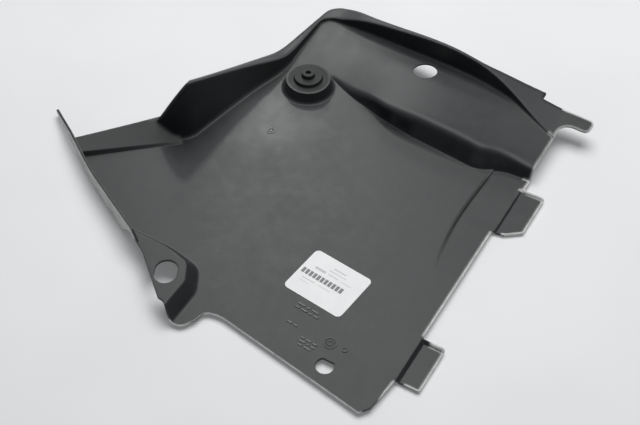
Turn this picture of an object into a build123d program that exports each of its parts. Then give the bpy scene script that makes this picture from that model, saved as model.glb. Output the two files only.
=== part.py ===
from build123d import *

import os
from math import atan2, cos, degrees, dist, radians, sin, tan

# Sheet
sheet = 2.5                 # wall of the moulding
slab_depth = 12.0           # block under the upper form, cut away by the lower form
overrun = 60.0              # how far a raised block runs on past the trimmed edge
form_top = 110.0            # above everything the form carries
bend_share = 0.45           # part of a run beside a bend that its arc may take up
fold_radius = 4.0           # upper side of the folds round the floor

# Right edge with its two stepped tabs
edge_x = 200.0
tab_drop = 4.0              # tabs sit this far below the main floor
tab_joggle_draft = 45.0
tab_corner_radius = 2.5
near_tab = [(200.0, -146.0), (224.0, -146.0), (224.0, -94.0), (200.0, -94.0)]
far_tab = [(200.0, 57.5), (212.0, 59.5), (227.5, 71.5), (227.5, 117.5), (205.0, 117.5)]

# Hooked finger at the far end of the right edge, and the notch behind it
finger = [(205.0, 215.5), (234.0, 214.5), (235.0, 232.5), (174.0, 234.5)]
finger_root_radius = 12.0
finger_tip_radius = 6.0
notch_radius = 1.0

# Near edge: beside the pad, round the tongue, and on to the chamfered corner
pad_edge = [(-74.0, -149.0), (-29.0, -187.0)]
tongue = [(-23.0, -187.5), (-14.0, -195.0), (-1.0, -195.5), (8.0, -183.0), (10.5, -169.0), (26.0, -166.0)]
near_corner = [(188.0, -193.0), (195.0, -184.0), (200.0, -150.0)]
near_corner_radius = 3.0

# Upright fin along the slanting left edge
fin_near = (-84.0, -143.0)
fin_middle = (-180.0, -91.5)
fin_tip = (-276.0, -27.0)
fin_turn_radius = 400.0
fin_bend_share = 0.77       # part of its length at which the top starts to fall to the tip
fin_height_near = 24.0
fin_end_run = 12.0          # over this length the top comes down to the pad
fin_height_bend = 15.0
fin_height_tip = 3.0

# Ledge at the left end, a step that grows into a slope along its fold
ledge_fold_near = (-208.0, -65.0)
ledge_fold_far = (-132.0, 1.0)
ledge_step_run = 3.0
ledge_step_near = 5.5       # step at the fin
ledge_step_far = 1.5        # step at the corner of the left wall
ledge_rise_near = 0.31      # slope behind the step
ledge_rise_far = 0.52
ledge_outer_near = (-229.0, -58.58)
ledge_outer_far = (-164.0, 13.0)

# Left wall, from the corner beside the ledge to the far left corner
wall_draft = 5.0
wall_start = (-131.0, 4.0)
wall_start_radius = 22.0
wall_foot = [(-121.0, 62.0), (-111.0, 113.0), (-100.0, 150.0), (-100.0, 246.0)]
rim_high = 68.0             # rim above the floor at the corner beside the ledge
rim_high_y = 23.0
rim_low = 11.0              # rim above the floor at the far left corner
rim_low_y = 168.0
rim_sweep_radius = 90.0
end_slope_top_x = -135.0
end_slope_foot_x = -165.0
end_slope_foot = 15.0

# Far wall, with a rim that rises and falls along the far edge
far_foot = [(-41.0, 247.0), (40.0, 237.0), (100.0, 231.0), (140.0, 221.0), (186.0, 199.0)]
far_corner_radius = 14.0
far_rim_crest = [
    (-80.0, 13.0),
    (-62.0, 19.0),
    (-40.0, 24.0),
    (0.0, 31.0),
    (60.0, 39.5),
    (110.0, 36.5),
    (150.0, 27.5),
    (180.0, 21.5),
]
far_rim_end = 19.0

# Outer edge of the rim, from the ledge round to the finger
rim_edge = [
    (-150.0, 17.0),
    (-137.0, 28.0),
    (-130.0, 62.0),
    (-123.0, 102.0),
    (-115.0, 152.0),
    (-112.0, 176.0),
    (-105.5, 230.0),
    (-102.0, 257.0),
    (-92.0, 267.5),
    (-75.0, 267.0),
    (-45.0, 257.5),
    (-16.0, 252.5),
    (34.0, 245.0),
    (80.0, 239.5),
    (104.0, 236.5),
    (174.0, 243.5),
]

# Raised plateau between the far wall and the floor
plateau_foot = [(-46.0, 167.0), (1.0, 147.0), (31.0, 132.0), (60.0, 127.0), (150.0, 121.0), (171.0, 133.0)]
plateau_draft = 25.0
plateau_end_fall = 0.1      # slope of its top at the right edge
plateau_start_x = -66.0
plateau_crest_x = 88.0
plateau_front_y = 110.0
plateau_front_start = -5.0  # below the floor, so that the floor starts to rise behind the tower
plateau_front_crest = 35.0
plateau_front_end = 21.0
plateau_back_y = 262.0
plateau_back_start = 9.0
plateau_back_crest = 13.0
plateau_back_end = 15.0
plateau_lip_radius = 8.0

# Shallow sunk strip inside the right edge
strip_edge = [(172.0, -14.0), (164.0, 30.0), (163.0, 77.0), (167.0, 145.0)]
strip_full_y = 70.0         # from here on the strip is at its full depth
strip_depth = 1.6
strip_draft = 45.0

# Fixing pad in the near left corner
pad_height = 16.0
pad_draft = 30.0
pad_foot = [(-9.0, -155.0), (-23.0, -130.0), (-57.0, -122.0)]
pad_bend_radius = 20.0
pad_top_radius = 3.0
pad_slot_centre = (-40.0, -158.0)
pad_slot_length = 28.0
pad_slot_width = 22.0
pad_slot_angle = 115.0

# Stepped tower for the middle fixing
tower_centre = (-62.0, 143.0)
tower_draft = 12.0
tower_foot_radius = 27.0
tower_step_height = 13.0
tower_seat_draft = 15.0
tower_seat_radius = 16.0
tower_seat_height = 17.0
tower_collar_radius = 7.4
tower_collar_height = 21.5
tower_bore_radius = 3.0

# Round hole in the plateau and flat-sided drain hole in the floor
plateau_hole_centre = (43.6, 215.5)
plateau_hole_radius = 13.2
drain_centre = (138.0, -165.5)
drain_radius = 8.7
drain_flat = 6.5            # from the centre of the hole to its flat side

# Paper sticker on the floor
sticker_centre = (93.0, -82.0)
sticker_length = 66.0
sticker_width = 55.0
sticker_angle = -6.5
sticker_corner_radius = 5.0
sticker_thickness = 0.2

os.makedirs("parts", exist_ok=True)


def foot_inset(inset, draft):
    """How far a wall of this draft moves in at its foot on the sheet's lower side."""
    return inset * (1 - sin(radians(draft))) / cos(radians(draft))


def bend_radius(before, here, after):
    """Largest easy arc at a point of an outline, using most of the shorter run beside it."""
    turn = Vector(here[0] - before[0], here[1] - before[1]).get_angle(
        Vector(after[0] - here[0], after[1] - here[1])
    )
    run = min(dist(before, here), dist(here, after))
    return bend_share * run / tan(radians(turn / 2))


def rounded_radii(outline, corners):
    """Radius at each point of a closed outline: as given in corners, or else an easy bend."""
    count = len(outline)
    return [
        corners[i] if i in corners else bend_radius(outline[i - 1], outline[i], outline[(i + 1) % count])
        for i in range(count)
    ]


def raised_block(outline, corners, draft, height, inset, sink=0.0):
    """Tapered block over a rounded outline, given at floor level, its walls run on down by sink."""
    shift = sink * tan(radians(draft)) - foot_inset(inset, draft)
    with BuildPart() as block:
        with BuildSketch(Plane.XY.offset(-inset - sink)):
            with BuildLine():
                FilletPolyline(*outline, radius=rounded_radii(outline, corners), close=True)
            make_face()
            if shift:
                offset(amount=shift, kind=Kind.INTERSECTION, mode=Mode.REPLACE)
        extrude(amount=height + sink, taper=draft)
    return block.part


def sunk_block(outline, corners, draft, depth, inset):
    """Tapered recess under an outline given at floor level."""
    with BuildPart() as block:
        with BuildSketch(Plane.XY.offset(-inset)):
            with BuildLine():
                FilletPolyline(*outline, radius=rounded_radii(outline, corners), close=True)
            make_face()
            if inset:
                offset(amount=foot_inset(inset, draft), kind=Kind.INTERSECTION, mode=Mode.REPLACE)
        extrude(amount=-depth, taper=draft)
    return block.part


def floor_form(inset):
    """Slab under the main floor."""
    span = 2 * (edge_x + 2 * overrun)
    with BuildPart() as form:
        with BuildSketch(Plane.XY.offset(-slab_depth)):
            Rectangle(span, span)
        extrude(amount=slab_depth - inset)
    return form.part


def tab_recess(tab, inset):
    """Space over a tab, which steps down where it leaves the right edge."""
    outline = [
        (edge_x, tab[0][1] - 3 * tab_drop),
        (edge_x + overrun, tab[0][1] - 3 * tab_drop),
        (edge_x + overrun, tab[-1][1]),
        (edge_x, tab[-1][1]),
    ]
    return sunk_block(outline, {0: 0, 1: 0, 2: 0, 3: 0}, tab_joggle_draft, tab_drop, inset)


def ledge_form(inset):
    """Ledge at the left end, ruled between a stepped section and a sloping one."""
    run_x = ledge_fold_far[0] - ledge_fold_near[0]
    run_y = ledge_fold_far[1] - ledge_fold_near[1]
    fold = Plane(
        origin=(ledge_fold_near[0], ledge_fold_near[1], 0),
        x_dir=(-run_y, run_x, 0),
        z_dir=(run_x, run_y, 0),
    )
    length = dist(ledge_fold_near, ledge_fold_far)
    grow = (ledge_step_far - ledge_step_near) / length
    with BuildPart() as form:
        for along, rise in ((-overrun / 2, ledge_rise_near), (length, ledge_rise_far)):
            step = ledge_step_near + grow * along
            start = foot_inset(inset, degrees(atan2(ledge_step_run, step)))
            with BuildSketch(fold.offset(along)):
                with BuildLine():
                    Polyline(
                        (start, -slab_depth),
                        (start, -inset),
                        (start + ledge_step_run, step - inset),
                        (start + overrun, step + rise * (overrun - ledge_step_run) - inset),
                        (start + overrun, -slab_depth),
                        close=True,
                    )
                make_face()
        loft(ruled=True)
    return form.part


def rim_form(inset):
    """Left and far walls as one block, cut off under the line of their rim."""
    outline = [
        (-edge_x - overrun, wall_start[1]),
        wall_start,
        *wall_foot,
        *far_foot,
        (edge_x + overrun, far_foot[-1][1] - overrun / 2),
        (edge_x + overrun, edge_x + 2 * overrun),
        (-edge_x - overrun, edge_x + 2 * overrun),
    ]
    last = len(outline) - 1
    corners = {0: 0, 1: wall_start_radius, 5: far_corner_radius, last - 2: 0, last - 1: 0, last: 0}
    walls = raised_block(outline, corners, wall_draft, form_top, inset)

    slope = (rim_high - rim_low) / (rim_low_y - rim_high_y)
    join_x = wall_foot[-1][0]
    with BuildPart() as left_rim:
        with BuildSketch(Plane.YZ.offset(-edge_x - overrun)):
            with BuildLine():
                FilletPolyline(
                    (rim_high_y - overrun, -slab_depth),
                    (rim_high_y - overrun, rim_high + slope * overrun - inset),
                    (rim_low_y, rim_low - inset),
                    (edge_x + 2 * overrun, rim_low - inset),
                    (edge_x + 2 * overrun, -slab_depth),
                    radius=[0, 0, rim_sweep_radius, 0, 0],
                    close=True,
                )
            make_face()
        extrude(amount=edge_x + overrun + join_x)
        steepness = (rim_high - end_slope_foot) / (end_slope_top_x - end_slope_foot_x)
        reach = (form_top - rim_high) / steepness
        with BuildSketch(Plane.XZ):
            with BuildLine():
                Polyline(
                    (end_slope_foot_x - end_slope_foot / steepness, -inset),
                    (end_slope_top_x + reach, form_top - inset),
                    (-edge_x - 2 * overrun, form_top - inset),
                    (-edge_x - 2 * overrun, -inset),
                    close=True,
                )
            make_face()
        extrude(amount=edge_x + 3 * overrun, both=True, mode=Mode.SUBTRACT)

    with BuildPart() as far_rim:
        with BuildSketch(Plane.XZ):
            with BuildLine():
                crest = [(join_x, rim_low), *far_rim_crest, (edge_x, far_rim_end)]
                Spline(*[(along, height - inset) for along, height in crest])
                Polyline(
                    (edge_x, far_rim_end - inset),
                    (edge_x + overrun, far_rim_end - inset),
                    (edge_x + overrun, -slab_depth),
                    (join_x, -slab_depth),
                    (join_x, rim_low - inset),
                )
            make_face()
        extrude(amount=-edge_x - 2 * overrun)

    with BuildPart() as form:
        add(left_rim.part)
        add(far_rim.part)
        add(walls, mode=Mode.INTERSECT)
    return form.part


def plateau_form(inset):
    """Plateau whose warped top runs out into the floor behind the tower and rises to the far left corner."""
    outline = [
        *plateau_foot,
        (edge_x + overrun, plateau_foot[-1][1]),
        (edge_x + overrun, edge_x + overrun),
        (-edge_x, edge_x + overrun),
        (-edge_x, tower_centre[1]),
    ]
    last = len(outline) - 1
    corners = {0: 0, last - 3: 0, last - 2: 0, last - 1: 0, last: 0}
    block = raised_block(outline, corners, plateau_draft, form_top / 2, inset, slab_depth)
    with BuildPart() as warp:
        for section_y, start, crest, end in (
            (plateau_front_y, plateau_front_start, plateau_front_crest, plateau_front_end),
            (plateau_back_y, plateau_back_start, plateau_back_crest, plateau_back_end),
        ):
            with BuildSketch(Plane.XZ.offset(-section_y)):
                with BuildLine():
                    Spline(
                        (plateau_start_x, start - inset),
                        (plateau_crest_x, crest - inset),
                        (edge_x, end - inset),
                        tangents=[(1, 0), (1, 0), (1, -plateau_end_fall)],
                        tangent_scalars=[1, 1, 1],
                    )
                    Polyline(
                        (edge_x, end - inset),
                        (edge_x + overrun, end - inset - plateau_end_fall * overrun),
                        (edge_x + overrun, -2 * slab_depth),
                        (-edge_x, -2 * slab_depth),
                        (-edge_x, start - inset),
                        (plateau_start_x, start - inset),
                    )
                make_face()
        loft(ruled=True)
    with BuildPart() as form:
        add(block)
        add(warp.part, mode=Mode.INTERSECT)
        lip = form.edges().filter_by_position(Axis.Z, slab_depth / 2, form_top)
        lip = lip.filter_by(lambda edge: (edge @ 0.5).Y < plateau_foot[0][1])
        lip = lip.filter_by(lambda edge: abs((edge % 0.5).X) > abs((edge % 0.5).Z))
        fillet(lip, plateau_lip_radius - inset)
    return form.part


def strip_recess(inset):
    """Shallow band inside the right edge, sinking from nothing to its full depth."""
    near_y = strip_edge[0][1]
    far_y = strip_edge[-1][1]
    outline = [
        strip_edge[0],
        (edge_x + overrun, near_y),
        (edge_x + overrun, far_y),
        *reversed(strip_edge[1:]),
    ]
    block = sunk_block(outline, {0: 0, 1: 0, 2: 0, 3: 0}, strip_draft, strip_depth, inset)
    with BuildPart() as recess:
        with BuildSketch(Plane.YZ.offset(strip_edge[0][0] - overrun)):
            with BuildLine():
                Polyline(
                    (near_y, -inset),
                    (strip_full_y, -inset - strip_depth),
                    (far_y, -inset - strip_depth),
                    (far_y, -inset),
                    close=True,
                )
            make_face()
        extrude(amount=3 * overrun)
        add(block, mode=Mode.INTERSECT)
    return recess.part


def pad_form(inset):
    """Raised pad in the near left corner, running on past the trimmed edge."""
    outline = [
        (pad_foot[-1][0] - overrun, near_corner[0][1] - overrun),
        (pad_foot[0][0], near_corner[0][1] - overrun),
        *pad_foot,
        (pad_foot[-1][0] - overrun, pad_foot[-1][1]),
    ]
    corners = {0: 0, 1: 0, 2: pad_bend_radius, 3: pad_bend_radius, 5: 0}
    block = raised_block(outline, corners, pad_draft, pad_height, inset)
    top = block.faces().sort_by(Axis.Z)[-1]
    return block.fillet(pad_top_radius, top.edges())


def tower_form(inset):
    """Round tower in two steps with a collar on top."""
    with BuildPart() as form:
        for foot, radius, top, draft in (
            (0.0, tower_foot_radius, tower_step_height, tower_draft),
            (tower_step_height, tower_seat_radius, tower_seat_height, tower_seat_draft),
            (tower_seat_height, tower_collar_radius, tower_collar_height, tower_draft),
        ):
            with BuildSketch(Plane.XY.offset(foot - inset)):
                with Locations(tower_centre):
                    Circle(radius - foot_inset(inset, draft))
            extrude(amount=top - foot, taper=draft)
    return form.part


def foot_edges(form, inset):
    """Folds where the raised blocks meet the floor, without the ends that run on past the trim."""
    border = edge_x + 0.9 * overrun
    folds = form.edges().filter_by_position(Axis.Z, -inset - 0.01, -inset + 0.01)
    folds = folds.filter_by_position(Axis.X, end_slope_foot_x, border)
    return folds.filter_by_position(Axis.Y, -border, border)


def upper_form(inset):
    """Solid whose top is the sheet's upper side, or its lower side when inset is the sheet's wall."""
    floor = floor_form(inset)
    walls = rim_form(inset)
    pad = pad_form(inset)
    tower = tower_form(inset)
    plateau = plateau_form(inset)
    ledge = ledge_form(inset)
    strip = strip_recess(inset)
    near_recess = tab_recess(near_tab, inset)
    far_recess = tab_recess(far_tab, inset)
    with BuildPart() as form:
        add(floor)
        add(walls)
        fillet(foot_edges(form, inset), fold_radius + inset)
        wall_folds = foot_edges(form, inset)
        add(pad)
        add(tower)
        fillet(foot_edges(form, inset) - wall_folds, fold_radius + inset)
        add(strip, mode=Mode.SUBTRACT)
        add(plateau)
        add(ledge)
        add(near_recess, mode=Mode.SUBTRACT)
        add(far_recess, mode=Mode.SUBTRACT)
    return form.part


def trim_outline():
    """Points of the moulding's outline seen from above, anticlockwise."""
    return [
        fin_near,
        *pad_edge,
        *tongue,
        *near_corner,
        *near_tab,
        *far_tab,
        *finger,
        *reversed(rim_edge),
        ledge_outer_far,
        ledge_outer_near,
        fin_middle,
    ]


def trim_radii(outline):
    """Radius at each point of the moulding's outline."""
    radii = {
        0.0: [fin_near, ledge_outer_far, ledge_outer_near],
        notch_radius: [finger[3], rim_edge[-1]],
        near_corner_radius: [*pad_edge, *near_corner[:2]],
        finger_tip_radius: finger[1:3],
        finger_root_radius: finger[:1],
        tab_corner_radius: [*near_tab, *far_tab],
        fin_turn_radius: [fin_middle],
    }
    corners = {outline.index(point): radius for radius, points in radii.items() for point in points}
    return rounded_radii(outline, corners)


def inward(point):
    """Same point moved from the fin's outer face to its inner face."""
    across = Vector(fin_tip[1] - fin_near[1], fin_near[0] - fin_tip[0]).normalized() * sheet
    return (point[0] + across.X, point[1] + across.Y)


upper = upper_form(0)
lower = upper_form(sheet)

with BuildPart() as trim:
    with BuildSketch(Plane.XY.offset(-slab_depth)):
        with BuildLine():
            outline = trim_outline()
            FilletPolyline(*outline, radius=trim_radii(outline), close=True)
        make_face()
    extrude(amount=slab_depth + form_top)

# Fin: an upright plate on the outline's slanting edge, which stands on the pad and then on the floor
with BuildPart() as fin:
    with BuildSketch(Plane.XY.offset(-sheet)):
        with BuildLine():
            FilletPolyline(
                fin_near,
                fin_middle,
                fin_tip,
                inward(fin_tip),
                inward(fin_middle),
                inward(fin_near),
                radius=[0, fin_turn_radius, 0, 0, fin_turn_radius - sheet, 0],
                close=True,
            )
        make_face()
    extrude(amount=form_top)
    fin_length = dist(fin_near, fin_tip)
    along = Vector(fin_tip[0] - fin_near[0], fin_tip[1] - fin_near[1]) / fin_length
    pad_end = (pad_foot[-1][1] - fin_near[1]) / along.Y
    pad_slope = pad_height * tan(radians(pad_draft)) / along.Y
    with BuildSketch(Plane(origin=fin_near, x_dir=along, z_dir=(along.Y, -along.X, 0))):
        with BuildLine():
            Polyline(
                (0, pad_height - sheet),
                (0, pad_height),
                (fin_end_run, fin_height_near),
                (fin_bend_share * fin_length, fin_height_bend),
                (fin_length, fin_height_tip),
                (fin_length, -sheet),
                (pad_end, -sheet),
                (pad_end - pad_slope, pad_height - sheet),
                close=True,
            )
        make_face()
    extrude(amount=overrun, both=True, mode=Mode.INTERSECT)

# Moulding: the sheet between its upper and its lower form, trimmed to the outline
with BuildPart() as moulding:
    add(upper)
    add(lower, mode=Mode.SUBTRACT)
    add(trim.part, mode=Mode.INTERSECT)

    with BuildSketch(Plane.XY.offset(-slab_depth)):
        with Locations(tower_centre):
            Circle(tower_bore_radius)
        with Locations(plateau_hole_centre):
            Circle(plateau_hole_radius)
        with Locations(pad_slot_centre):
            SlotOverall(pad_slot_length, pad_slot_width, rotation=pad_slot_angle)
        with BuildLine():
            half_chord = (drain_radius**2 - drain_flat**2) ** 0.5
            left = (drain_centre[0] - half_chord, drain_centre[1] + drain_flat)
            right = (drain_centre[0] + half_chord, drain_centre[1] + drain_flat)
            ThreePointArc(left, (drain_centre[0], drain_centre[1] - drain_radius), right)
            Line(right, left)
        make_face()
    extrude(amount=2 * form_top, mode=Mode.SUBTRACT)

    add(fin.part)

# Guard panel: the moulding, lifted so that the underside of its main floor is at height 0
with BuildPart() as guard_panel:
    with Locations((0, 0, sheet)):
        add(moulding.part)
guard_panel.part.label = "guard_panel"

# Paper sticker lying on the floor
with BuildPart() as sticker:
    with BuildSketch(Plane.XY.offset(sheet)):
        with Locations(Location(sticker_centre, (0, 0, sticker_angle))):
            RectangleRounded(sticker_length, sticker_width, sticker_corner_radius)
    extrude(amount=sticker_thickness)
sticker.part.label = "sticker"

for piece in (guard_panel, sticker):
    export_step(piece.part, f"parts/{piece.part.label}.step")
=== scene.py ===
from math import cos, pi, radians, sin

import bmesh
import bpy
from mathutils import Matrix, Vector


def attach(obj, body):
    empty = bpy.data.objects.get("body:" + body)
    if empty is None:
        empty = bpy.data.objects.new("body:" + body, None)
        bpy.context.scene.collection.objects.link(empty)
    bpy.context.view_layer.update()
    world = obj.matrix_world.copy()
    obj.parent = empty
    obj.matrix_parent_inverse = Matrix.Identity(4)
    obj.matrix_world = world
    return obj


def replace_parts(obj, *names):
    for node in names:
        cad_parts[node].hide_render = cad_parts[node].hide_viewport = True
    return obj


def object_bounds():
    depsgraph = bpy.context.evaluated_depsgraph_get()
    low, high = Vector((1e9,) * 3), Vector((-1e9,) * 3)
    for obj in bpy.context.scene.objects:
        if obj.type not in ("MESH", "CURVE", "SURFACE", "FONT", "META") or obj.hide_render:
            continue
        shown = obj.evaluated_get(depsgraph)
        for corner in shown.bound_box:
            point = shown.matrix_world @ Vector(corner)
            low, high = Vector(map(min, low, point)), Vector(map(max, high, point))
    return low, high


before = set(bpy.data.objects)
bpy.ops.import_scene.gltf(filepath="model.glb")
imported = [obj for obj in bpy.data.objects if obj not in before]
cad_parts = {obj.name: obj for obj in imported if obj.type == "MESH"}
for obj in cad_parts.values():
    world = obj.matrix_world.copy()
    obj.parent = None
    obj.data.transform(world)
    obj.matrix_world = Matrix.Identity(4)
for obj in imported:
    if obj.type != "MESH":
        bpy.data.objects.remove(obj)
cad_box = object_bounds()

MM = 0.001
SHEET = 2.5                         # thickness of the moulding, and height of the floor's upper side

# Places in plan, in millimetres
TOWER = (-62.0, 143.0)
PLATEAU_HOLE = (43.6, 215.5)
PAINTED_SHEEN_SPOT = (-84.0, 84.0)        # middle of a painted sheen on the floor, where the plastic is also a little smoother
STICKER_MIDDLE = (93.0, -82.0)
STICKER_TURN = -6.5                 # degrees
GATE = (-61.6, 64.5)                # where the plastic entered the mould
DIAL = (129.8, -141.8)
SMALL_RING = (145.2, -141.2)
NEAR_TAB = (-148.0, -92.0)          # near and far end of the gap that the tab makes in the right edge
FAR_TAB = (56.0, 120.0)
NEAR_LINE = (26.0, -166.0)          # a point of the floor's near edge
NEAR_SLOPE = 0.1667                 # how fast that edge falls to the right
FIN_FOOT = (-84.0, -143.0)          # near end of the fin
FIN_OUT = (-0.517, -0.856)          # way that the fin's outer skin faces


# Shader arithmetic

class Wire:
    """One output of a shader node, which takes part in Python arithmetic."""

    def __init__(self, finish, socket):
        self.finish = finish
        self.socket = socket

    def maths(self, operation, *others):
        values = {0: self}
        for place, other in enumerate(others, start=1):
            values[place] = other
        return self.finish.node("ShaderNodeMath", {"operation": operation}, values)

    def __add__(self, other):
        return self.maths("ADD", other)

    __radd__ = __add__

    def __mul__(self, other):
        return self.maths("MULTIPLY", other)

    __rmul__ = __mul__

    def __sub__(self, other):
        return self.maths("SUBTRACT", other)

    def __rsub__(self, other):
        return (self * -1.0) + other

    def __pow__(self, other):
        return self.maths("POWER", other)

    def __abs__(self):
        return self.maths("ABSOLUTE")

    def rising(self, low, high):
        """Ramp from 0 at low to 1 at high, held at both ends."""
        return self.finish.node(
            "ShaderNodeMapRange",
            {"interpolation_type": "SMOOTHSTEP", "clamp": True},
            {"Value": self, "From Min": low, "From Max": high},
        )

    def falling(self, low, high):
        """Ramp from 1 at low to 0 at high, held at both ends."""
        return 1.0 - self.rising(low, high)

    def within(self, low, high, soft):
        """1 from low to high and 0 outside, with soft ends."""
        return self.rising(low - soft, low + soft) * self.falling(high - soft, high + soft)

    def or_else(self, other):
        """The larger of two masks."""
        return self.maths("MAXIMUM", other)


class Finish:
    """One procedural material, built node by node."""

    def __init__(self, name):
        self.material = bpy.data.materials.new(name)
        self.material.use_nodes = True
        self.tree = self.material.node_tree
        self.tree.nodes.clear()

    def node(self, kind, settings=None, values=None, output=0):
        made = self.tree.nodes.new(kind)
        for name, setting in (settings or {}).items():
            setattr(made, name, setting)
        for name, value in (values or {}).items():
            if isinstance(value, Wire):
                self.tree.links.new(value.socket, made.inputs[name])
            else:
                made.inputs[name].default_value = value
        return Wire(self, made.outputs[output]) if made.outputs else made

    def place(self):
        """Position on the object, in metres of the part's own frame."""
        return self.node("ShaderNodeTexCoord", output="Object")

    def apart(self, vector):
        """The three coordinates of a vector as separate numbers."""
        split = self.node("ShaderNodeSeparateXYZ", None, {0: vector}).socket.node
        return [Wire(self, split.outputs[axis]) for axis in range(3)]

    def noise(self, place, size, detail=3.0, roughness=0.5):
        """Cloudy value about 0.5 whose patches are about this many millimetres across."""
        return self.node(
            "ShaderNodeTexNoise",
            {"noise_dimensions": "3D"},
            {"Vector": place, "Scale": 1.0 / (size * MM), "Detail": detail, "Roughness": roughness},
        )

    def blend(self, share, first, second):
        """Colour part of the way from first to second."""
        return self.node(
            "ShaderNodeMix",
            {"data_type": "RGBA", "clamp_factor": True},
            {0: share, 6: first, 7: second},
            output=2,
        )

    def softened(self, radius, samples):
        """Normal of the surface as if its edges were rounded to this many millimetres."""
        return self.node("ShaderNodeBevel", {"samples": samples}, {"Radius": radius * MM})

    def turn_of(self, normal):
        """How far a normal turns from the face's own, 0 where they agree."""
        own = self.node("ShaderNodeNewGeometry", output="Normal")
        both = {0: normal, 1: own}
        agreement = self.node("ShaderNodeVectorMath", {"operation": "DOT_PRODUCT"}, both, output="Value")
        return 1.0 - agreement

    def bump(self, height, depth, base=None):
        """Normal of a relief this many millimetres deep."""
        values = {"Height": height, "Distance": depth * MM, "Strength": 1.0}
        if base is not None:
            values["Normal"] = base
        return self.node("ShaderNodeBump", None, values)

    def surface(self, values):
        shader = self.node("ShaderNodeBsdfPrincipled", None, values)
        self.node("ShaderNodeOutputMaterial", None, {"Surface": shader})
        return self.material


def range_from(x, y, centre):
    """Distance in plan from a place."""
    side, ahead = x - centre[0], y - centre[1]
    return (side * side + ahead * ahead) ** 0.5


# Finish of the moulding

PLASTIC = {
    # painted shade along the left side of the sunk strip
    "painted_strip_shade": (0.010, 0.011, 0.011, 1.0),
    # painted shade on the tower's dished seat
    "painted_seat_shade": (0.012, 0.013, 0.013, 1.0),
    "dark": (0.028, 0.030, 0.031, 1.0),
    "light": (0.037, 0.039, 0.040, 1.0),
    "patch": (0.045, 0.047, 0.048, 1.0),
    # painted sheen on the floor by the left wall
    "painted_sheen": (0.085, 0.088, 0.089, 1.0),
    "speck": (0.130, 0.135, 0.135, 1.0),
    # painted highlight along the feet of the walls
    "painted_foot_light": (0.130, 0.135, 0.137, 1.0),
    # painted highlight on the crests of the walls
    "painted_crest_light": (0.150, 0.155, 0.157, 1.0),
    "scuff": (0.160, 0.165, 0.165, 1.0),
    # wear and painted highlight on convex edges
    "worn_and_lit_edges": (0.260, 0.265, 0.265, 1.0),
    # painted highlight on trimmed edges, partly whitening, and painted reflection on the fin
    "pale_and_lit_trim": (0.950, 0.950, 0.930, 1.0),
}
PLASTIC_ROUGHNESS = 0.42
CRISP_EDGE = 1.6                    # rounding of the floor's cut edges, in millimetres
SOFT_FOLD = 5.5                     # rounding where the sheet turns up into walls


def large_folds(x, y):
    """Mask of the far half, whose walls turn softly: without the tower, the round hole and the strip."""
    off_tower = range_from(x, y, TOWER).rising(29.0, 36.0)
    off_hole = range_from(x, y, PLATEAU_HOLE).rising(16.0, 22.0)
    off_strip = 1.0 - x.rising(120.0, 150.0) * y.falling(108.0, 116.0)
    return y.rising(-2.0, 6.0) * off_tower * off_hole * off_strip


def strip_shade_mask(x, y):
    """Mask of painted shade, a dark line along the left side of the sunk strip."""
    strip_line = 168.95 - y * 0.1855 + y * y * 0.00131
    line = abs(x - strip_line - 0.8).falling(0.6, 3.4)
    return line * y.rising(-22.0, 40.0) * y.falling(118.0, 124.0)


def trimmed_edge_lights(finish, x, y, z, worn, edge, outline):
    """Share of pale colour: on the trimmed right and near edges, partly whitening and partly painted
    highlight, and on the outer skin of the fin, a painted reflection of the pale ground.
    """
    true_normal = finish.node("ShaderNodeNewGeometry", output="True Normal")
    across, along, up = finish.apart(true_normal)
    upright = abs(up).falling(0.15, 0.35)
    right_edge = edge.or_else(outline).or_else(upright * across.rising(0.4, 0.7))
    near_edge = edge.or_else(upright * (along * -1.0).rising(0.4, 0.7))

    tabs = y.within(*NEAR_TAB, 1.0) + y.within(*FAR_TAB, 1.0)
    tab_steps = tabs * x.falling(207.0, 210.0)
    right_band = x.rising(196.0, 197.5) * (1.0 - tab_steps)

    from_near_line = y - NEAR_LINE[1] + (x - NEAR_LINE[0]) * NEAR_SLOPE
    near_band = from_near_line.falling(2.5, 4.0) * z.falling(4.0, 6.0) * x.rising(-30.0, -26.0)

    # Painted reflection of the pale ground on the fin's outer skin
    outward = across * FIN_OUT[0] + along * FIN_OUT[1]
    behind_skin = (x - FIN_FOOT[0]) * -FIN_OUT[0] + (y - FIN_FOOT[1]) * -FIN_OUT[1]
    painted_fin_reflection = outward.rising(0.6, 0.8) * behind_skin.falling(3.0, 6.0) * x.falling(-92.0, -86.0)

    cut = (right_edge * right_band).or_else(near_edge * near_band)
    return (cut + painted_fin_reflection * 0.62) * (0.78 + worn * 0.22)


def scuffs(finish, place, clouds):
    """Mask of faint scratches drawn out one way, in some patches only."""
    drawn_out = finish.node(
        "ShaderNodeMapping",
        {"vector_type": "POINT"},
        {"Vector": place, "Rotation": (0.0, 0.0, radians(33.0)), "Scale": (22.0, 500.0, 200.0)},
    )
    streak = finish.node("ShaderNodeTexNoise", None, {"Vector": drawn_out, "Scale": 1.0, "Detail": 2.0})
    return streak.rising(0.70, 0.80) * clouds.rising(0.48, 0.66)


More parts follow.
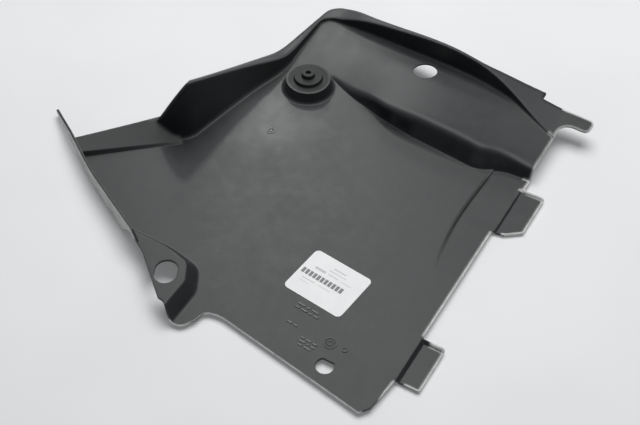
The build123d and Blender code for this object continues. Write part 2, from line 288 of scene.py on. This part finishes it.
def moulded_plastic():
    """Dark grey moulded plastic: fine grain, cloudy sheen, soft folds, a few scuffs, with painted
    highlights on edges, crests and feet, a painted sheen, painted shade on the seat and strip, and a
    painted reflection on the fin.
    """
    finish = Finish("moulded_plastic")
    place = finish.place()
    x, y, z = [axis * (1.0 / MM) for axis in finish.apart(place)]
    grain = finish.noise(place, 0.9, detail=4.0, roughness=0.6)
    clouds = finish.noise(place, 46.0, detail=2.0)
    patches = finish.noise(place, 11.0, detail=3.0)
    specks = finish.noise(place, 1.6, detail=2.0)
    worn = patches.rising(0.30, 0.62)

    # Normals of the rounded edges, soft in the far half and crisp elsewhere
    crisp = finish.softened(CRISP_EDGE, 6)
    soft = finish.softened(SOFT_FOLD, 10)
    folds = large_folds(x, y)
    rounded = finish.node(
        "ShaderNodeMix",
        {"data_type": "VECTOR", "clamp_factor": True},
        {0: folds * z.rising(3.2, 7.0), 4: crisp, 5: soft},
        output=1,
    )

    # Where edges and folds run, told by how far the rounded normals turn
    edge = finish.turn_of(crisp).rising(0.004, 0.16)
    turn = finish.turn_of(soft)
    air = finish.node("ShaderNodeAmbientOcclusion", {"samples": 6}, {"Distance": 5.0 * MM}, output="AO")
    open_air = air.rising(0.45, 0.85)
    # Convex edges paler, partly wear and partly painted highlight
    worn_and_lit_edges = edge * air.rising(0.55, 0.95) * (0.55 + worn * 0.45)
    # Painted highlights along the crests of the walls, more on the outer ones
    painted_crest_light = turn.rising(0.01, 0.20) * folds * z.rising(9.0, 14.0) * x.falling(150.0, 190.0)
    outer_crest_light = x.falling(-80.0, -66.0).or_else(y.rising(236.0, 248.0)) * z.rising(16.0, 22.0)
    # Painted highlight along the feet of the walls
    painted_foot_light = turn.rising(0.02, 0.10) * folds * z.falling(3.0, 5.0)
    outline = turn.rising(0.03, 0.16) * open_air

    # Scuffs, and places of painted shade and of a painted sheen
    scuff = scuffs(finish, place, clouds)
    # Painted shade on the dished seat atop the tower, which is also rougher
    painted_seat_shade = range_from(x, y, TOWER).falling(21.0, 24.0) * z.rising(12.0, 15.0)
    # Painted shade along the sunk strip, which is also rougher
    painted_strip_shade = strip_shade_mask(x, y)
    # Painted sheen: a lighter, slightly smoother patch of the floor
    painted_sheen = range_from(x, y, PAINTED_SHEEN_SPOT).falling(12.0, 88.0)

    layers = [
        (patches.rising(0.35, 0.75) * 0.35, "patch"),
        (specks.rising(0.60, 0.80) * 0.12, "speck"),
        (scuff * 0.25, "scuff"),
        (painted_sheen * 0.60, "painted_sheen"),
        (painted_crest_light * (0.45 + outer_crest_light * 0.40), "painted_crest_light"),
        (painted_foot_light * 0.40, "painted_foot_light"),
        (painted_seat_shade * 0.60, "painted_seat_shade"),
        (painted_strip_shade * 0.60, "painted_strip_shade"),
        (worn_and_lit_edges * 0.50, "worn_and_lit_edges"),
        (trimmed_edge_lights(finish, x, y, z, worn, edge * open_air, outline), "pale_and_lit_trim"),
    ]
    shade = finish.blend(clouds.rising(0.25, 0.75), PLASTIC["dark"], PLASTIC["light"])
    for share, name in layers:
        shade = finish.blend(share, shade, PLASTIC[name])

    roughness = PLASTIC_ROUGHNESS - painted_sheen * 0.06 + (clouds - 0.5) * 0.14 + (patches - 0.5) * 0.12
    roughness = roughness + scuff * 0.10 - edge * 0.05 + painted_seat_shade * 0.22 + painted_strip_shade * 0.25
    return finish.surface({
        "Base Color": shade,
        "Roughness": roughness,
        "Normal": finish.bump(grain, 0.10, rounded),
        "Specular IOR Level": 0.27,
    })


def polished_marks():
    """Smoother, darker plastic where the tool's engraved inserts left their marks."""
    finish = Finish("polished_marks")
    place = finish.place()
    clouds = finish.noise(place, 3.0, detail=3.0)
    dark, light = (0.016, 0.017, 0.018, 1.0), (0.026, 0.028, 0.029, 1.0)
    return finish.surface({
        "Base Color": finish.blend(clouds.rising(0.3, 0.7), dark, light),
        "Roughness": 0.34 + (clouds - 0.5) * 0.16,
        "Normal": finish.bump(clouds, 0.05),
    })


# Finish of the sticker

PRINT = (0.07, 0.07, 0.08, 1.0)
PRINT_SOFT = 0.25                   # width of a printed field's soft edge to each side, in millimetres

# Plain fields of the print: left, right, low and high side in millimetres from the sticker's middle,
# and how dark they are. The bold row is a row of equal blocks.
BLOCK_STEP, BLOCK_WIDTH, BLOCK_START = 4.4, 3.3, -30.0
BLOCK_ROW = [
    (BLOCK_START + BLOCK_STEP * step, BLOCK_START + BLOCK_WIDTH + BLOCK_STEP * step, -3.8, 2.6, 0.90)
    for step in range(11)
]
PRINTED_FIELDS = BLOCK_ROW + [
    (-5.0, 9.0, 16.5, 18.0, 0.35),
    (-8.0, 12.0, 12.6, 13.8, 0.30),
    (-21.0, -9.0, 7.0, 10.0, 0.40),
    (-6.0, 6.0, 8.0, 9.2, 0.35),
    (9.0, 21.0, 7.6, 8.8, 0.25),
    (-25.0, -10.0, -8.6, -7.4, 0.35),
    (-7.0, 8.0, -8.6, -7.4, 0.25),
    (-25.0, -15.0, -12.6, -11.6, 0.22),
]


def label_paper():
    """White coated paper with plain grey fields where a label carries its print."""
    finish = Finish("label_paper")
    place = finish.place()
    fibre = finish.noise(place, 0.7, detail=4.0, roughness=0.6)
    clouds = finish.noise(place, 14.0, detail=2.0)
    middle = (STICKER_MIDDLE[0] * MM, STICKER_MIDDLE[1] * MM, 0.0)
    on_sticker = finish.node(
        "ShaderNodeMapping",
        {"vector_type": "TEXTURE"},
        {"Vector": place, "Location": middle, "Rotation": (0.0, 0.0, radians(STICKER_TURN))},
    )
    along, up, _ = finish.apart(on_sticker)

    def inside(value, low, high):
        """Mask of a range in millimetres of a value in metres."""
        reach = (high - low) / 2
        off_middle = abs(value - (low + high) / 2 * MM)
        return off_middle.falling((reach - PRINT_SOFT) * MM, (reach + PRINT_SOFT) * MM)

    paper = finish.blend(clouds.rising(0.3, 0.7), (0.92, 0.925, 0.93, 1.0), (0.96, 0.965, 0.96, 1.0))
    for left, right, low, high, share in PRINTED_FIELDS:
        paper = finish.blend(inside(along, left, right) * inside(up, low, high) * share, paper, PRINT)
    return finish.surface({
        "Base Color": paper,
        "Roughness": 0.46 + (fibre - 0.5) * 0.2,
        "Normal": finish.bump(fibre, 0.03),
    })


def studio_floor():
    """Plain pale ground under the part."""
    finish = Finish("studio_floor")
    clouds = finish.noise(finish.place(), 180.0, detail=2.0)
    shade = finish.blend(clouds.rising(0.3, 0.7), (0.80, 0.805, 0.81, 1.0), (0.83, 0.835, 0.84, 1.0))
    return finish.surface({
        "Base Color": shade,
        "Roughness": 0.7,
        "Emission Color": shade,
        "Emission Strength": 0.16,
    })


# Shape of the panel as it is shown

def smooth_curve(points):
    """Smooth value through a few places, level outside them."""

    def slope(index):
        before, after = points[max(index - 1, 0)], points[min(index + 1, len(points) - 1)]
        return (after[1] - before[1]) / (after[0] - before[0])

    def value(at):
        if at <= points[0][0]:
            return points[0][1]
        if at >= points[-1][0]:
            return points[-1][1]
        index = max(number for number, point in enumerate(points) if point[0] <= at)
        (start, low), (end, high) = points[index], points[index + 1]
        run = end - start
        part = (at - start) / run
        left = (2 * part**3 - 3 * part**2 + 1) * low + (part**3 - 2 * part**2 + part) * run * slope(index)
        right = (3 * part**2 - 2 * part**3) * high + (part**3 - part**2) * run * slope(index + 1)
        return left + right

    return value


def share_of(at, low, high):
    """How far a value is on its way from low to high, from 0 to 1."""
    return min(max((at - low) / (high - low), 0.0), 1.0)


def ramp(at, low, high):
    """From 0 at low to 1 at high, with soft ends."""
    part = share_of(at, low, high)
    return part * part * (3.0 - 2.0 * part)


# Long front wall of the raised part: how far its foot stands back from the solid's, how far its lip
# does, and how far the lip lies below the solid's, along the part from left to right
FOOT_BACK = smooth_curve([
    (-25.0, 0.0), (-8.0, 0.3), (9.0, 3.5), (22.0, 5.8), (36.0, 7.0), (50.0, 7.0), (62.0, 6.3), (76.0, 5.4),
    (100.0, 4.4), (125.0, 3.5), (148.0, 2.4), (160.0, 2.0), (172.0, 3.4), (186.0, 5.0), (202.0, 6.0),
])
LIP_BACK = smooth_curve([
    (70.0, 0.0), (92.0, 0.0), (110.0, 0.8), (135.0, 2.2), (152.0, 2.2), (168.0, 1.6), (185.0, 1.2),
    (205.0, 1.0),
])
LIP_DOWN = smooth_curve([
    (10.0, 0.0), (35.0, 1.6), (60.0, 4.6), (80.0, 6.6), (100.0, 7.2), (130.0, 7.2), (160.0, 7.0),
    (185.0, 7.4), (205.0, 7.8),
])

# Depths and heights between which the easing fades in or out, in millimetres
FRONT_STARTS = (100.0, 112.0)
FOOT_ENDS = (150.0, 182.0)
FOOT_HEIGHTS = (SHEET, 24.0)
LIP_ENDS = (165.0, 205.0)
LIP_HEIGHTS = (6.0, 22.0)
TOP_ENDS = (150.0, 262.0)
TOP_HEIGHTS = (3.0, 26.0)

# The two sunk tabs at the right are raised, so that their steps are shallower than the solid's
TABS_FROM = 199.0                   # left end of their steps
TAB_TOP = -1.5                      # height of the solid tabs' upper side
TAB_LIFT = 1.5


def eased(spot):
    """Place of a point of the panel after its long front wall is eased to a straight lip, in metres."""
    x, y, z = [value / MM for value in spot]
    in_front = ramp(y, *FRONT_STARTS)
    at_foot = (1.0 - ramp(y, *FOOT_ENDS)) * (1.0 - ramp(z, *FOOT_HEIGHTS)) * in_front
    at_lip = ramp(z, *LIP_HEIGHTS) * (1.0 - ramp(y, *LIP_ENDS)) * in_front
    on_top = ramp(z, *TOP_HEIGHTS) * (1.0 - share_of(y, *TOP_ENDS)) * in_front
    back = FOOT_BACK(x) * at_foot + LIP_BACK(x) * at_lip
    return Vector((x, y + back, z - LIP_DOWN(x) * on_top)) * MM


def leaned(spot, normal):
    """Direction of the panel's face at a point after the same easing."""
    first = normal.orthogonal().normalized() * 0.1 * MM
    second = normal.cross(first)
    moved = eased(spot)
    return (eased(spot + first) - moved).cross(eased(spot + second) - moved).normalized()


def tab_lift(spot):
    """Way that a point of a tab is raised, in metres, from nothing at the floor down its step."""
    if spot.x < TABS_FROM * MM:
        return Vector()
    return Vector((0.0, 0.0, TAB_LIFT * MM * share_of(spot.z, 0.0, TAB_TOP * MM)))


def show(name, mesh, material):
    """Add a piece of dark plastic that rides on the part."""
    mesh.materials.clear()
    mesh.materials.append(material)
    piece = bpy.data.objects.new(name, mesh)
    bpy.context.collection.objects.link(piece)
    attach(piece, "root")
    return piece


def eased_panel(material):
    """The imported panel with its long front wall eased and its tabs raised, shown in the solid's place."""
    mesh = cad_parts["guard_panel"].data.copy()
    mesh.name = "guard_moulding"
    spots = [vertex.co.copy() for vertex in mesh.vertices]
    normals = [corner.vector.copy() for corner in mesh.corner_normals]
    turned = [leaned(spots[loop.vertex_index], normal) for loop, normal in zip(mesh.loops, normals)]
    for vertex, spot in zip(mesh.vertices, spots):
        vertex.co = eased(spot) + tab_lift(spot)
    mesh.normals_split_custom_set(turned)
    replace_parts(show("guard_moulding", mesh, material), "guard_panel")


# Small raised marks of the tool, in millimetres

MARK_ROOT = -0.3                    # how far a mark reaches into the floor
RINGS = [                           # centre, outer and inner radius, height
    (GATE, 4.4, 3.2, 0.5),
    (DIAL, 6.4, 5.4, 0.6),
    (DIAL, 2.6, 1.9, 0.6),
    (SMALL_RING, 3.0, 2.0, 0.6),
]
RING_STEPS = 40
GATE_DISC = (1.5, 16, 0.7)          # radius, corners, height
TICKS = 12
TICK = (4.0, 1.6, 0.5, 0.5)         # distance from the dial's middle, length, width, height
BAR_WIDTH, BAR_HEIGHT, BAR_GAP = 1.7, 0.6, 1.5
BAR_SLOPE = radians(-5.0)
BAR_ROWS = [                        # where a row of plain bars starts, and how long its bars are
    (80.0, -116.5, (9.0, 4.0, 8.0)),
    (80.0, -121.0, (5.0, 7.0, 4.0, 6.0)),
    (82.0, -139.5, (6.0, 5.0)),
    (103.0, -149.0, (4.0, 6.0, 5.0)),
    (103.0, -153.0, (7.0, 3.0, 5.0)),
    (104.0, -157.0, (5.0, 8.0)),
]


def on_circle(centre, radius, turn):
    return centre[0] + radius * cos(turn), centre[1] + radius * sin(turn)


def on_floor(shape, spot, level):
    """New corner of a mark, at a height above the floor's upper side."""
    return shape.verts.new((spot[0] * MM, spot[1] * MM, (SHEET + level) * MM))


def close_rings(shape, rings):
    for lower, upper in zip(rings, rings[1:]):
        for index in range(len(lower)):
            after = (index + 1) % len(lower)
            shape.faces.new((lower[index], lower[after], upper[after], upper[index]))


def raised_outline(shape, corners, height, chamfer=0.25):
    """Flat raised mark on the floor: an outline with a chamfered rim."""
    middle = Vector((sum(p[0] for p in corners), sum(p[1] for p in corners))) / len(corners)
    rings = []
    for level, inset in ((MARK_ROOT, 0.0), (height - chamfer, 0.0), (height, chamfer)):
        ring = []
        for corner in corners:
            away = Vector(corner) - middle
            ring.append(on_floor(shape, middle + away * (1.0 - inset / away.length), level))
        rings.append(ring)
    close_rings(shape, rings)
    shape.faces.new(rings[-1])
    shape.faces.new(list(reversed(rings[0])))


def raised_ring(shape, centre, outer, inner, height):
    """Raised ring on the floor with a chamfered crest."""
    crest, shoulder = (outer - inner) * 0.25, height * 0.6
    profile = [
        (outer, MARK_ROOT), (outer, shoulder), (outer - crest, height),
        (inner + crest, height), (inner, shoulder), (inner, MARK_ROOT),
    ]
    turns = [2.0 * pi * step / RING_STEPS for step in range(RING_STEPS)]
    rings = []
    for radius, level in profile:
        rings.append([on_floor(shape, on_circle(centre, radius, turn), level) for turn in turns])
    close_rings(shape, rings + [rings[0]])


def raised_bar(shape, centre, length, width, turn, height):
    """Bar with round ends, its length along its own direction."""
    corners = []
    half, radius = length / 2 - width / 2, width / 2
    for side, start in ((1.0, -0.5 * pi), (-1.0, 0.5 * pi)):
        for step in range(7):
            x, y = on_circle((side * half, 0.0), radius, start + pi * step / 6.0)
            corners.append((
                centre[0] + x * cos(turn) - y * sin(turn),
                centre[1] + x * sin(turn) + y * cos(turn),
            ))
    raised_outline(shape, corners, height)


def mould_marks(material):
    """Gate spot, plain dial with its ticks, small ring and rows of plain bars."""
    shape = bmesh.new()
    for centre, outer, inner, height in RINGS:
        raised_ring(shape, centre, outer, inner, height)

    radius, corners, height = GATE_DISC
    disc = [on_circle(GATE, radius, 2.0 * pi * corner / corners) for corner in range(corners)]
    raised_outline(shape, disc, height)

    away, length, width, height = TICK
    for tick in range(TICKS):
        turn = 2.0 * pi * tick / TICKS
        raised_bar(shape, on_circle(DIAL, away, turn), length, width, turn, height)

    for start_x, start_y, lengths in BAR_ROWS:
        x = start_x
        for length in lengths:
            middle = (x + length / 2, start_y + (x - start_x) * BAR_SLOPE)
            raised_bar(shape, middle, length, BAR_WIDTH, BAR_SLOPE, BAR_HEIGHT)
            x += length + BAR_GAP

    mesh = bpy.data.meshes.new("mould_marks")
    bmesh.ops.recalc_face_normals(shape, faces=shape.faces)
    shape.to_mesh(mesh)
    shape.free()
    show("mould_marks", mesh, material)


# Studio: places in millimetres, powers in watts

CAMERA = ((457.5, -720.9, 941.6), (41.3, -8.6, 2.5))        # place and target
CAMERA_LENS, CAMERA_SENSOR = 70.31, 36.0
GROUND_REACH = 6.0                                          # metres to each side
AIR_COLOUR, AIR_STRENGTH = (0.90, 0.94, 1.0, 1.0), 0.12

# Name, place, target, width, height, power, and whether it lights the form. One that doesn't is a
# sheen card, which only shows in the gloss of what it shines on.
LIGHTS = [
    ("back_window", (-150.0, 900.0, 2300.0), (0.0, 40.0, 0.0), 2300.0, 1700.0, 52.0, True),
    ("low_sheen", (-1100.0, 1900.0, 1000.0), (60.0, 120.0, 0.0), 1000.0, 450.0, 9.0, False),
    ("ridge_sheen", (100.0, -50.0, 2400.0), (40.0, 60.0, 0.0), 300.0, 300.0, 6.0, False),
    ("floor_sheen", (-897.0, 1327.0, 1500.0), (-64.0, 67.0, 0.0), 200.0, 200.0, 9.0, False),
]


def dress(node, material):
    """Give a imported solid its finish."""
    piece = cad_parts[node]
    piece.data.materials.clear()
    piece.data.materials.append(material)


def lay_floor(height):
    """Large flat ground at the height on which the part rests."""
    mesh = bpy.data.meshes.new("ground")
    corners = [(-1, -1), (1, -1), (1, 1), (-1, 1)]
    mesh.from_pydata([(x * GROUND_REACH, y * GROUND_REACH, height) for x, y in corners], [], [(0, 1, 2, 3)])
    mesh.materials.append(studio_floor())
    ground = bpy.data.objects.new("ground", mesh)
    bpy.context.collection.objects.link(ground)


def aim(thing, place, target):
    """Put a light or camera at a place, pointed at a target."""
    at = Vector(place) * MM
    thing.location = at
    thing.rotation_euler = (Vector(target) * MM - at).to_track_quat("-Z", "Y").to_euler()
    bpy.context.collection.objects.link(thing)


def soft_light(name, place, target, width, height, power, lights_form):
    """Rectangular soft light."""
    lamp = bpy.data.lights.new(name, "AREA")
    lamp.shape = "RECTANGLE"
    lamp.size = width * MM
    lamp.size_y = height * MM
    lamp.energy = power
    light = bpy.data.objects.new(name, lamp)
    light.visible_diffuse = lights_form
    aim(light, place, target)


def photo_camera():
    lens = bpy.data.cameras.new("photo_camera")
    lens.sensor_width = CAMERA_SENSOR
    lens.lens = CAMERA_LENS
    lens.clip_start = 0.05
    lens.clip_end = 50.0
    camera = bpy.data.objects.new("photo_camera", lens)
    aim(camera, *CAMERA)
    bpy.context.scene.camera = camera


def fill_air():
    """Faint even light from all round."""
    world = bpy.data.worlds.new("studio_air")
    world.use_nodes = True
    background = world.node_tree.nodes["Background"]
    background.inputs["Color"].default_value = AIR_COLOUR
    background.inputs["Strength"].default_value = AIR_STRENGTH
    bpy.context.scene.world = world


plastic = moulded_plastic()
dress("guard_panel", plastic)
dress("sticker", label_paper())
eased_panel(plastic)
mould_marks(polished_marks())

photo_camera()
lay_floor(cad_box[0][2])
for light in LIGHTS:
    soft_light(*light)
fill_air()
bpy.context.scene.view_settings.view_transform = "Standard"
